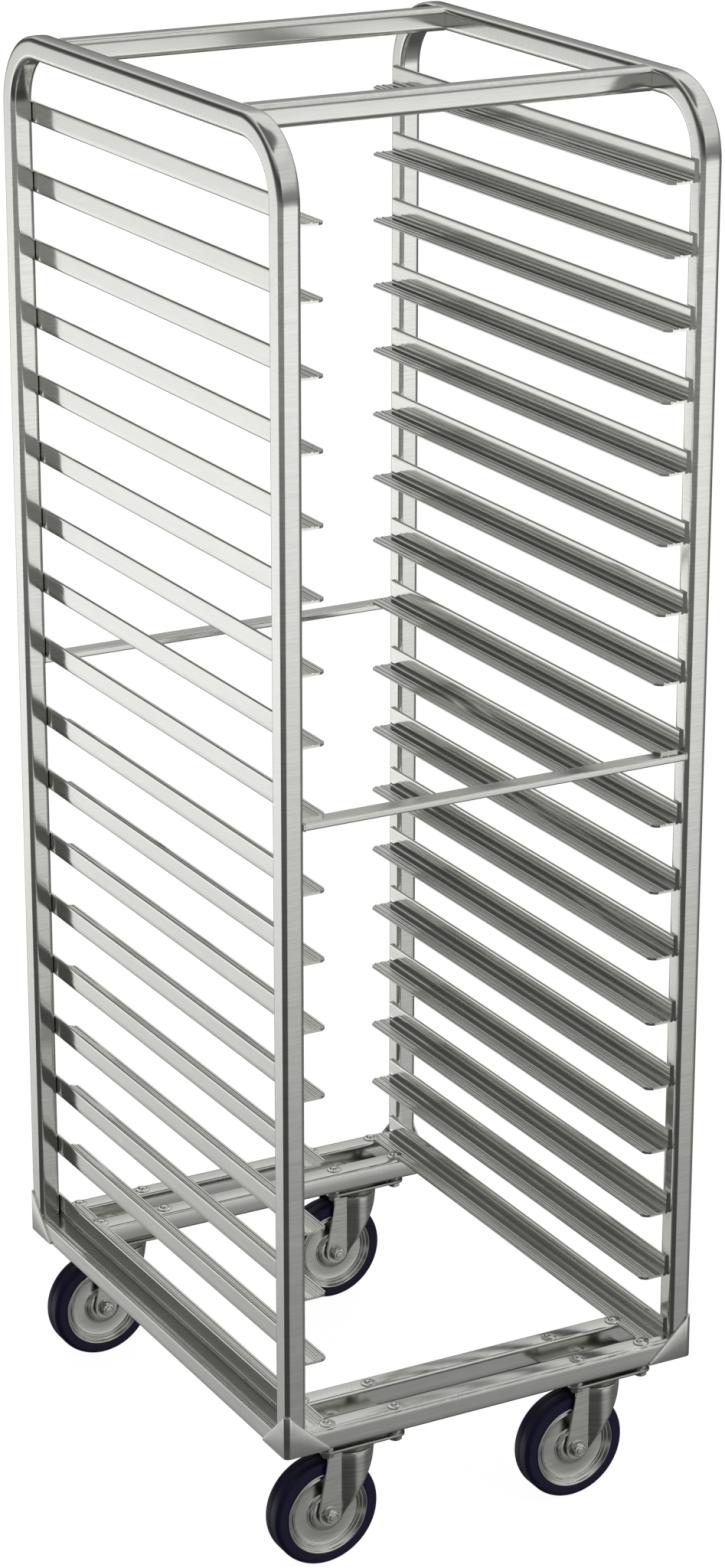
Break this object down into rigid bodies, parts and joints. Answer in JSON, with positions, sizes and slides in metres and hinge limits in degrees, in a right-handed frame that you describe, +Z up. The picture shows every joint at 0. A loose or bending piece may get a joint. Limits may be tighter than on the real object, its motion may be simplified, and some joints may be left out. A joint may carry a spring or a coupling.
{
  "type": "sheet pan rack",
  "caption": "Tall open rolling rack of square tube with facing ribbed slides that hold sheet pans, on a base of grooved tubes with swivel casters.",
  "frame": {"origin": "on the floor, midway between the casters, under the middle of the rack", "axes": "+X to the rack's right seen from the front, +Y from the front to the rear, +Z up"},
  "size_m": [0.512, 0.6548, 1.5858],
  "materials": {
    "frame_metal": "brushed",
    "slide_metal": "extruded, fine lengthwise grain",
    "caster_steel": "brushed",
    "bearing_steel": "ground",
    "zinc": "bright plated",
    "wheel_metal": "turned",
    "tread": "satin polyurethane"
  },
  "bodies": {
    "frame": {"side_frame_left": "frame_metal", "side_frame_right": "frame_metal", "top_crossbar_front": "frame_metal", "top_crossbar_rear": "frame_metal", "mid_crossbar_front": "frame_metal", "mid_crossbar_rear": "frame_metal", "slides_left_upper": "slide_metal", "slides_right_upper": "slide_metal", "slides_left_lower": "slide_metal", "slides_right_lower": "slide_metal", "bottom_slide_left": "slide_metal", "bottom_slide_right": "slide_metal", "base_tubes_front": "frame_metal", "base_tubes_rear": "frame_metal", "base_rail_left": "frame_metal", "base_rail_right": "frame_metal", "gusset_front_left": "frame_metal", "gusset_front_right": "frame_metal", "gusset_rear_left": "frame_metal", "gusset_rear_right": "frame_metal", "caster_bolts": "zinc", "caster_nuts": "zinc", "caster_spacers": "zinc", "top_plate_front_left": "caster_steel", "kingpin_front_left": "caster_steel", "top_plate_front_right": "caster_steel", "kingpin_front_right": "caster_steel", "top_plate_rear_left": "caster_steel", "kingpin_rear_left": "caster_steel", "top_plate_rear_right": "caster_steel", "kingpin_rear_right": "caster_steel"},
    "swivel_front_left": {"fork_front_left": "caster_steel", "swivel_balls_front_left": "bearing_steel", "axle_bolt_front_left": "zinc", "axle_nut_front_left": "zinc"},
    "wheel_front_left": {"wheel_core_front_left": "wheel_metal", "wheel_bearings_front_left": "bearing_steel", "wheel_tread_front_left": "tread"},
    "swivel_front_right": {"fork_front_right": "caster_steel", "swivel_balls_front_right": "bearing_steel", "axle_bolt_front_right": "zinc", "axle_nut_front_right": "zinc"},
    "wheel_front_right": {"wheel_core_front_right": "wheel_metal", "wheel_bearings_front_right": "bearing_steel", "wheel_tread_front_right": "tread"},
    "swivel_rear_left": {"fork_rear_left": "caster_steel", "swivel_balls_rear_left": "bearing_steel", "axle_bolt_rear_left": "zinc", "axle_nut_rear_left": "zinc"},
    "wheel_rear_left": {"wheel_core_rear_left": "wheel_metal", "wheel_bearings_rear_left": "bearing_steel", "wheel_tread_rear_left": "tread"},
    "swivel_rear_right": {"fork_rear_right": "caster_steel", "swivel_balls_rear_right": "bearing_steel", "axle_bolt_rear_right": "zinc", "axle_nut_rear_right": "zinc"},
    "wheel_rear_right": {"wheel_core_rear_right": "wheel_metal", "wheel_bearings_rear_right": "bearing_steel", "wheel_tread_rear_right": "tread"}
  },
  "joints": [
    {"name": "swivel_front_left", "type": "hinge", "parent": "frame", "child": "swivel_front_left", "pos_m": [-0.1564, -0.2832, 0.133], "axis": [0, 0, 1], "continuous": true},
    {"name": "roll_front_left", "type": "hinge", "parent": "swivel_front_left", "child": "wheel_front_left", "pos_m": [-0.1896, -0.2832, 0.0625], "axis": [0, 1, 0], "continuous": true},
    {"name": "swivel_front_right", "type": "hinge", "parent": "frame", "child": "swivel_front_right", "pos_m": [0.1564, -0.2832, 0.133], "axis": [0, 0, 1], "continuous": true},
    {"name": "roll_front_right", "type": "hinge", "parent": "swivel_front_right", "child": "wheel_front_right", "pos_m": [0.1232, -0.2832, 0.0625], "axis": [0, 1, 0], "continuous": true},
    {"name": "swivel_rear_left", "type": "hinge", "parent": "frame", "child": "swivel_rear_left", "pos_m": [-0.1564, 0.2832, 0.133], "axis": [0, 0, 1], "continuous": true},
    {"name": "roll_rear_left", "type": "hinge", "parent": "swivel_rear_left", "child": "wheel_rear_left", "pos_m": [-0.1896, 0.2832, 0.0625], "axis": [0, 1, 0], "continuous": true},
    {"name": "swivel_rear_right", "type": "hinge", "parent": "frame", "child": "swivel_rear_right", "pos_m": [0.1564, 0.2832, 0.133], "axis": [0, 0, 1], "continuous": true},
    {"name": "roll_rear_right", "type": "hinge", "parent": "swivel_rear_right", "child": "wheel_rear_right", "pos_m": [0.1232, 0.2832, 0.0625], "axis": [0, 1, 0], "continuous": true}
  ]
}
